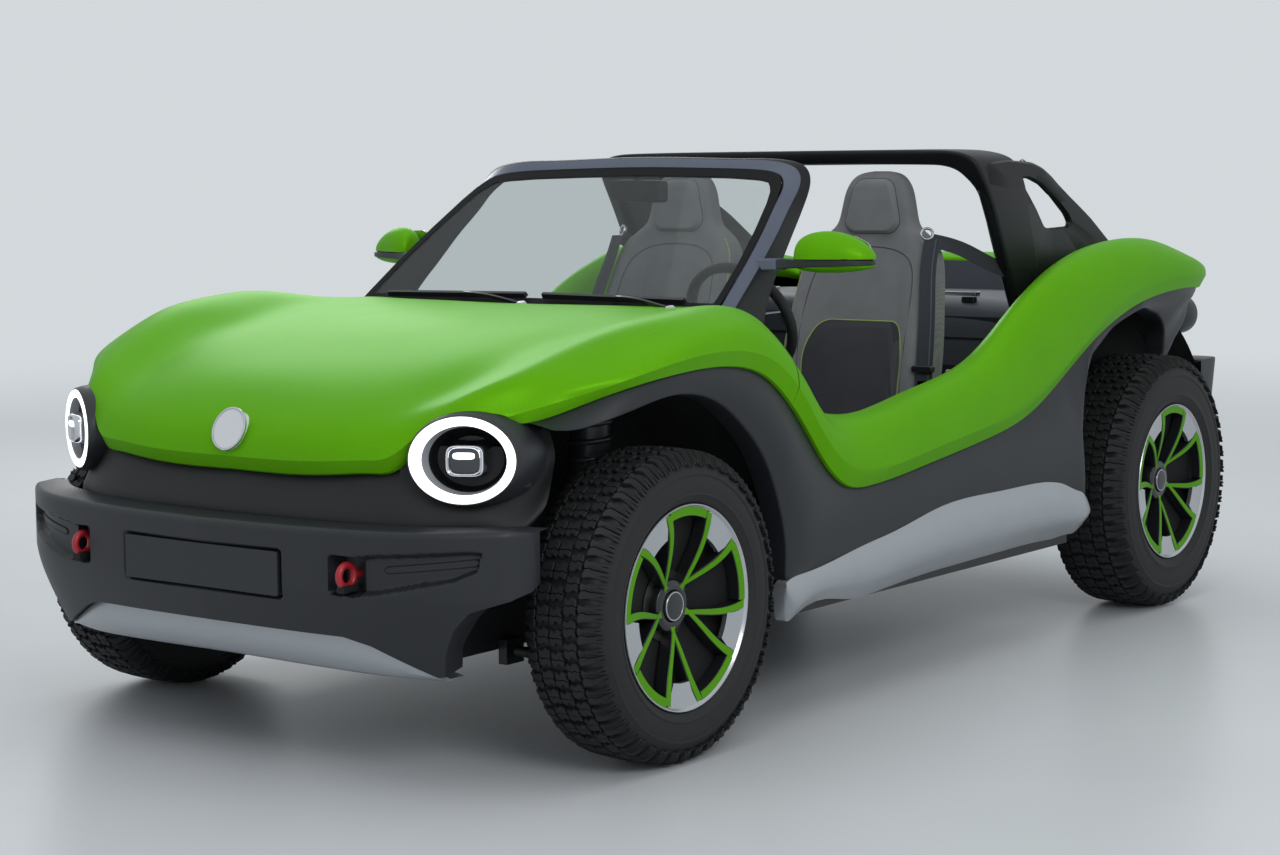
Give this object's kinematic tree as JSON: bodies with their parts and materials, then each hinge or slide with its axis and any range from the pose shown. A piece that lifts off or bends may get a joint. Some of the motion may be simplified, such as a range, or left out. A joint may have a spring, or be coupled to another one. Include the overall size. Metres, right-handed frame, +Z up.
{
  "type": "open two-seat electric dune buggy",
  "caption": "Open two-seat dune buggy with a green wrap-around upper body, roll hoop, bucket seats and large off-road tyres.",
  "frame": {"origin": "on the ground under the middle of the vehicle's box", "axes": "+X to the vehicle's left, -Y to its front, +Y to its rear, +Z up"},
  "size_m": [1.89, 4.063, 1.463],
  "materials": {
    "green_paint": "satin metallic paint",
    "dark_panel": "fine-grained moulded plastic",
    "dark_paint": "satin paint",
    "silver_trim": "satin",
    "interior_dark": "grained",
    "glass_clear": "clear",
    "lamp_black": "gloss",
    "tow_red": "gloss paint",
    "seat_grey": "woven",
    "belt_black": "webbing",
    "tyre_rubber": "matte",
    "rim_black": "satin",
    "disc_iron": "machined",
    "chassis_steel": "powder coat",
    "chassis_alloy": "cast",
    "spring_steel": "gloss",
    "wheel_grip": "smooth"
  },
  "bodies": {
    "chassis": {"front_clamshell": "green_paint", "side_band_left": "green_paint", "side_band_right": "green_paint", "rear_deck": "green_paint", "side_panel_left": "dark_panel", "side_panel_right": "dark_panel", "sill_plates": "silver_trim", "floor_tub": "chassis_steel", "front_tub": "interior_dark", "rear_tub": "interior_dark", "battery_pack": "chassis_alloy", "drive_unit": "chassis_alloy", "dashboard": "interior_dark", "windscreen_glass": "glass_clear", "windscreen_frame": "dark_paint", "roll_hoop": "dark_paint", "front_bumper": "dark_panel", "rear_bumper": "dark_panel", "skid_plates": "silver_trim", "headlights": "lamp_black", "tail_lights": "lamp_black", "tow_hooks": "tow_red", "door_mirrors": "green_paint", "seat_left": "seat_grey", "seat_right": "seat_grey", "seat_belts": "belt_black", "front_suspension": "chassis_steel", "rear_suspension": "chassis_steel", "spring_struts": "spring_steel", "rear_knuckles": "chassis_alloy"},
    "front_wheel_left": {"wheel_front_left": "rim_black", "tyre_front_left": "tyre_rubber", "brake_disc_front_left": "disc_iron"},
    "front_wheel_right": {"wheel_front_right": "rim_black", "tyre_front_right": "tyre_rubber", "brake_disc_front_right": "disc_iron"},
    "rear_wheel_left": {"wheel_rear_left": "rim_black", "tyre_rear_left": "tyre_rubber", "brake_disc_rear_left": "disc_iron", "axle_shaft_left": "chassis_alloy"},
    "rear_wheel_right": {"wheel_rear_right": "rim_black", "tyre_rear_right": "tyre_rubber", "brake_disc_rear_right": "disc_iron", "axle_shaft_right": "chassis_alloy"},
    "knuckle_left": {"knuckle_left": "chassis_alloy"},
    "knuckle_right": {"knuckle_right": "chassis_alloy"},
    "steering_rack": {"steering_rack": "chassis_alloy"},
    "steering_wheel": {"steering_wheel": "wheel_grip"}
  },
  "joints": [
    {"name": "steer_left", "type": "hinge", "parent": "chassis", "child": "knuckle_left", "pos_m": [0.74, -1.34, 0.376], "axis": [0, 0, 1], "range_deg": [-32, 32]},
    {"name": "steer_right", "type": "hinge", "parent": "chassis", "child": "knuckle_right", "pos_m": [-0.74, -1.34, 0.376], "axis": [0, 0, 1], "range_deg": [-32, 32]},
    {"name": "rack_slide", "type": "slide", "parent": "chassis", "child": "steering_rack", "axis": [1, 0, 0], "range_m": [-0.0756, 0.0756]},
    {"name": "steering_wheel_turn", "type": "hinge", "parent": "chassis", "child": "steering_wheel", "pos_m": [0.38, -0.325, 0.985], "axis": [0, 0.9063, 0.4226], "range_deg": [-448.5, 448.5]},
    {"name": "front_left_roll", "type": "hinge", "parent": "knuckle_left", "child": "front_wheel_left", "pos_m": [0.8275, -1.34, 0.376], "axis": [1, 0, 0], "continuous": true},
    {"name": "front_right_roll", "type": "hinge", "parent": "knuckle_right", "child": "front_wheel_right", "pos_m": [-0.8275, -1.34, 0.376], "axis": [1, 0, 0], "continuous": true},
    {"name": "rear_left_roll", "type": "hinge", "parent": "chassis", "child": "rear_wheel_left", "pos_m": [0.8125, 1.31, 0.404], "axis": [1, 0, 0], "continuous": true},
    {"name": "rear_right_roll", "type": "hinge", "parent": "chassis", "child": "rear_wheel_right", "pos_m": [-0.8125, 1.31, 0.404], "axis": [1, 0, 0], "continuous": true}
  ],
  "couplings": [
    {"joint": "steer_right", "follows": "steer_left", "ratio": 1},
    {"joint": "rack_slide", "follows": "steer_left", "m_per_rad": -0.135},
    {"joint": "steering_wheel_turn", "follows": "steer_left", "ratio": 14}
  ]
}
